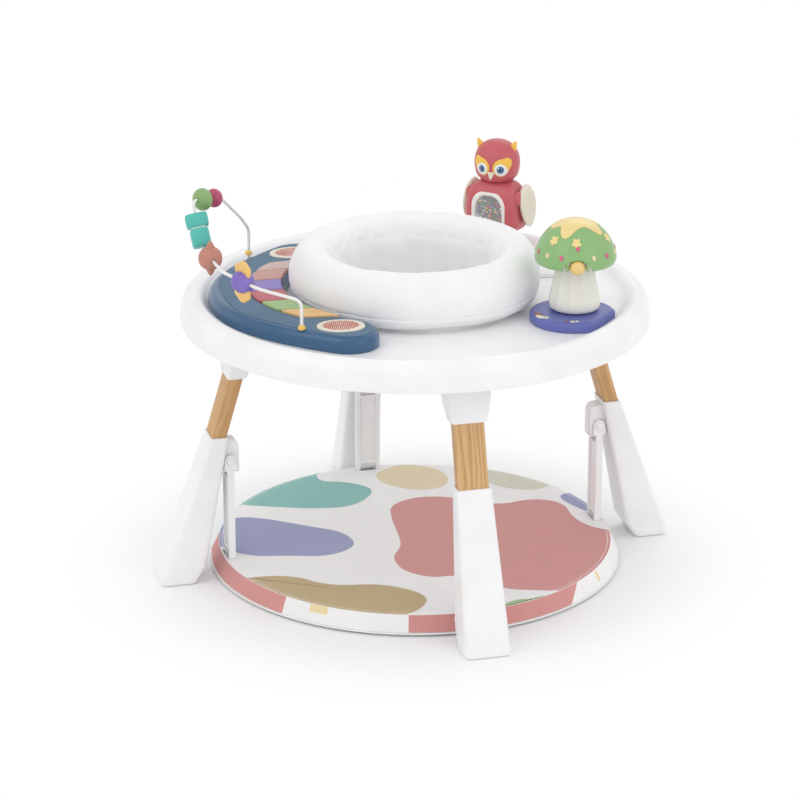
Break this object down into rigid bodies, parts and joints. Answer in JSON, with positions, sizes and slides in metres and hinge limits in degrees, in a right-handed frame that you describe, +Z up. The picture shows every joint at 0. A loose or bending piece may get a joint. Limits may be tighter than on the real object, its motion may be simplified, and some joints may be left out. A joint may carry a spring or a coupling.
{
  "type": "activity jumper",
  "caption": "Round baby activity table on splayed wood and plastic legs, with a turning soft seat, a hanging sprung deck and piano, bead wire, owl and mushroom toys.",
  "frame": {"origin": "on the floor under the middle of the table", "axes": "+Z up; the four legs stand on the diagonals; the piano is at minus X and minus Y, the mushroom at plus X and the owl at plus Y"},
  "size_m": [0.66, 0.66, 0.5575],
  "materials": {
    "white_plastic": "satin white",
    "post_wood": "oiled oak",
    "board_wood": "plain plywood",
    "frame_plastic": "plain white",
    "deck_fabric": "printed cloth",
    "spring_steel": "drawn wire",
    "seat_fabric": "soft white cloth",
    "piano_plastic": "satin blue",
    "key_apricot": "satin",
    "key_green": "satin",
    "key_red": "satin",
    "key_purple": "satin",
    "key_salmon": "satin",
    "key_pink": "satin",
    "pad_plastic": "ribbed soft pad",
    "bead_butterfly": "satin",
    "bead_fish": "satin",
    "bead_blocks": "satin",
    "bead_green": "satin",
    "bead_magenta": "satin",
    "owl_plastic": "satin",
    "window_plastic": "satin frame",
    "base_plastic": "satin",
    "stem_plastic": "satin",
    "cap_plastic": "satin",
    "ball_plastic": "satin",
    "ring_green": "satin",
    "ring_blue": "satin",
    "ring_yellow": "satin",
    "ring_pink": "satin"
  },
  "bodies": {
    "table": {"tray": "white_plastic", "leg_bracket_front": "white_plastic", "leg_bracket_right": "white_plastic", "leg_bracket_back": "white_plastic", "leg_bracket_left": "white_plastic", "wood_post_front": "post_wood", "wood_post_right": "post_wood", "wood_post_back": "post_wood", "wood_post_left": "post_wood", "piano_base": "piano_plastic", "bead_wire": "white_plastic", "owl_pedestal": "white_plastic", "mushroom_base": "base_plastic", "mushroom_stem": "stem_plastic", "ring_rail": "white_plastic"},
    "seat": {"seat_ring": "white_plastic", "seat_retainer": "white_plastic", "seat_cushion": "seat_fabric", "seat_sling": "seat_fabric"},
    "deck": {"deck_frame": "frame_plastic", "deck_cover": "deck_fabric", "deck_spring_1": "spring_steel", "deck_spring_2": "spring_steel", "deck_spring_3": "spring_steel", "deck_spring_4": "spring_steel"},
    "board": {"deck_board": "board_wood"},
    "sleeve_front": {"leg_sleeve_front": "white_plastic", "hanger_pin_front": "white_plastic"},
    "arm_front": {"deck_arm_front": "white_plastic"},
    "sleeve_right": {"leg_sleeve_right": "white_plastic", "hanger_pin_right": "white_plastic"},
    "arm_right": {"deck_arm_right": "white_plastic"},
    "sleeve_back": {"leg_sleeve_back": "white_plastic", "hanger_pin_back": "white_plastic"},
    "arm_back": {"deck_arm_back": "white_plastic"},
    "sleeve_left": {"leg_sleeve_left": "white_plastic", "hanger_pin_left": "white_plastic"},
    "arm_left": {"deck_arm_left": "white_plastic"},
    "key_apricot": {"piano_key_apricot": "key_apricot"},
    "key_green": {"piano_key_green": "key_green"},
    "key_red": {"piano_key_red": "key_red"},
    "key_purple": {"piano_key_purple": "key_purple"},
    "key_salmon": {"piano_key_salmon": "key_salmon"},
    "key_pink": {"piano_key_pink": "key_pink"},
    "pad_front": {"drum_pad_front": "pad_plastic"},
    "pad_back": {"drum_pad_back": "pad_plastic"},
    "bead_butterfly": {"bead_butterfly": "bead_butterfly"},
    "bead_fish": {"bead_fish": "bead_fish"},
    "bead_blocks": {"bead_blocks": "bead_blocks"},
    "bead_green": {"bead_green": "bead_green"},
    "bead_magenta": {"bead_magenta": "bead_magenta"},
    "owl": {"owl_body": "owl_plastic", "owl_window": "window_plastic"},
    "owl_head": {"owl_head": "owl_plastic"},
    "cap": {"mushroom_cap": "cap_plastic"},
    "ball": {"mushroom_ball": "ball_plastic"},
    "ring_green": {"ring_green": "ring_green"},
    "ring_blue": {"ring_blue": "ring_blue"},
    "ring_yellow": {"ring_yellow": "ring_yellow"},
    "ring_pink": {"ring_pink": "ring_pink"}
  },
  "joints": [
    {"name": "seat_spin", "type": "hinge", "parent": "table", "child": "seat", "pos_m": [0, 0, 0.39], "axis": [0, 0, 1], "continuous": true},
    {"name": "leg_slide_front", "type": "slide", "parent": "table", "child": "sleeve_front", "axis": [0.2008, -0.2008, -0.9588], "range_m": [0, 0.05]},
    {"name": "leg_slide_right", "type": "slide", "parent": "table", "child": "sleeve_right", "axis": [0.2008, 0.2008, -0.9588], "range_m": [0, 0.05]},
    {"name": "leg_slide_back", "type": "slide", "parent": "table", "child": "sleeve_back", "axis": [-0.2008, 0.2008, -0.9588], "range_m": [0, 0.05]},
    {"name": "leg_slide_left", "type": "slide", "parent": "table", "child": "sleeve_left", "axis": [-0.2008, -0.2008, -0.9588], "range_m": [0, 0.05]},
    {"name": "deck_drop", "type": "slide", "parent": "table", "child": "deck", "axis": [0, 0, -1], "range_m": [0, 0.0474]},
    {"name": "arm_tilt_front", "type": "hinge", "parent": "deck", "child": "arm_front", "pos_m": [0.19269, -0.19269, 0.014], "axis": [0.7071, 0.7071, 0], "range_deg": [0, 5.1]},
    {"name": "arm_tilt_right", "type": "hinge", "parent": "deck", "child": "arm_right", "pos_m": [0.19269, 0.19269, 0.014], "axis": [-0.7071, 0.7071, 0], "range_deg": [0, 5.1]},
    {"name": "arm_tilt_back", "type": "hinge", "parent": "deck", "child": "arm_back", "pos_m": [-0.19269, 0.19269, 0.014], "axis": [-0.7071, -0.7071, 0], "range_deg": [0, 5.1]},
    {"name": "arm_tilt_left", "type": "hinge", "parent": "deck", "child": "arm_left", "pos_m": [-0.19269, -0.19269, 0.014], "axis": [0.7071, -0.7071, 0], "range_deg": [0, 5.1]},
    {"name": "board_bounce", "type": "slide", "parent": "deck", "child": "board", "axis": [0, 0, -1], "range_m": [0, 0.008], "stiffness_N_per_m": 9000, "springref_m": -0.0015, "deforming": ["deck_spring_1", "deck_spring_2", "deck_spring_3", "deck_spring_4"]},
    {"name": "press_apricot", "type": "slide", "parent": "table", "child": "key_apricot", "axis": [0, 0, -1], "range_m": [0, 0.0025], "stiffness_N_per_m": 400, "springref_m": -0.001},
    {"name": "press_green", "type": "slide", "parent": "table", "child": "key_green", "axis": [0, 0, -1], "range_m": [0, 0.0025], "stiffness_N_per_m": 400, "springref_m": -0.001},
    {"name": "press_red", "type": "slide", "parent": "table", "child": "key_red", "axis": [0, 0, -1], "range_m": [0, 0.0025], "stiffness_N_per_m": 400, "springref_m": -0.001},
    {"name": "press_purple", "type": "slide", "parent": "table", "child": "key_purple", "axis": [0, 0, -1], "range_m": [0, 0.0025], "stiffness_N_per_m": 400, "springref_m": -0.001},
    {"name": "press_salmon", "type": "slide", "parent": "table", "child": "key_salmon", "axis": [0, 0, -1], "range_m": [0, 0.0025], "stiffness_N_per_m": 400, "springref_m": -0.001},
    {"name": "press_pink", "type": "slide", "parent": "table", "child": "key_pink", "axis": [0, 0, -1], "range_m": [0, 0.0025], "stiffness_N_per_m": 400, "springref_m": -0.001},
    {"name": "press_pad_front", "type": "slide", "parent": "table", "child": "pad_front", "axis": [0, 0, -1], "range_m": [0, 0.002], "stiffness_N_per_m": 400, "springref_m": -0.001},
    {"name": "press_pad_back", "type": "slide", "parent": "table", "child": "pad_back", "axis": [0, 0, -1], "range_m": [0, 0.002], "stiffness_N_per_m": 400, "springref_m": -0.001},
    {"name": "spin_bead_butterfly", "type": "hinge", "parent": "table", "child": "bead_butterfly", "pos_m": [-0.11609, -0.2633, 0.46568], "axis": [-0.9337, 0.3548, 0.0492], "continuous": true},
    {"name": "spin_bead_fish", "type": "hinge", "parent": "table", "child": "bead_fish", "pos_m": [-0.20519, -0.20732, 0.46989], "axis": [-0.7537, 0.6565, 0.0316], "continuous": true},
    {"name": "spin_bead_blocks", "type": "hinge", "parent": "table", "child": "bead_blocks", "pos_m": [-0.24406, -0.17622, 0.49704], "axis": [-0.4143, 0.2686, 0.8696], "continuous": true},
    {"name": "spin_bead_green", "type": "hinge", "parent": "table", "child": "bead_green", "pos_m": [-0.258, -0.14427, 0.53004], "axis": [0.1497, 0.9789, -0.139], "continuous": true},
    {"name": "spin_bead_magenta", "type": "hinge", "parent": "table", "child": "bead_magenta", "pos_m": [-0.25447, -0.12117, 0.52676], "axis": [0.1497, 0.9789, -0.139], "continuous": true},
    {"name": "owl_turn", "type": "hinge", "parent": "table", "child": "owl", "pos_m": [-0.0065, 0.253, 0.425], "axis": [0, 0, 1], "continuous": true},
    {"name": "owl_head_turn", "type": "hinge", "parent": "owl", "child": "owl_head", "pos_m": [-0.0065, 0.253, 0.498], "axis": [0, 0, 1], "range_deg": [-45, 45]},
    {"name": "cap_turn", "type": "hinge", "parent": "table", "child": "cap", "pos_m": [0.236, 0.027, 0.484], "axis": [0, 0, 1], "continuous": true},
    {"name": "ball_roll", "type": "hinge", "parent": "cap", "child": "ball", "pos_m": [0.26, -0.01457, 0.477], "axis": [0.866, 0.5, 0], "continuous": true},
    {"name": "spin_ring_green", "type": "hinge", "parent": "table", "child": "ring_green", "pos_m": [0.11187, 0.17942, 0.44], "axis": [0.848, 0.5299, 0], "continuous": true},
    {"name": "spin_ring_blue", "type": "hinge", "parent": "table", "child": "ring_blue", "pos_m": [0.11951, 0.18419, 0.44], "axis": [0.848, 0.5299, 0], "continuous": true},
    {"name": "spin_ring_yellow", "type": "hinge", "parent": "table", "child": "ring_yellow", "pos_m": [0.12714, 0.18896, 0.44], "axis": [0.848, 0.5299, 0], "continuous": true},
    {"name": "spin_ring_pink", "type": "hinge", "parent": "table", "child": "ring_pink", "pos_m": [0.13477, 0.19373, 0.44], "axis": [0.848, 0.5299, 0], "continuous": true}
  ],
  "couplings": [
    {"joint": "leg_slide_right", "follows": "leg_slide_front", "ratio": 1},
    {"joint": "leg_slide_back", "follows": "leg_slide_front", "ratio": 1},
    {"joint": "leg_slide_left", "follows": "leg_slide_front", "ratio": 1},
    {"joint": "deck_drop", "follows": "leg_slide_front", "ratio": 0.9462},
    {"joint": "arm_tilt_front", "follows": "leg_slide_front", "rad_per_m": 1.766},
    {"joint": "arm_tilt_right", "follows": "leg_slide_front", "rad_per_m": 1.766},
    {"joint": "arm_tilt_back", "follows": "leg_slide_front", "rad_per_m": 1.766},
    {"joint": "arm_tilt_left", "follows": "leg_slide_front", "rad_per_m": 1.766}
  ]
}
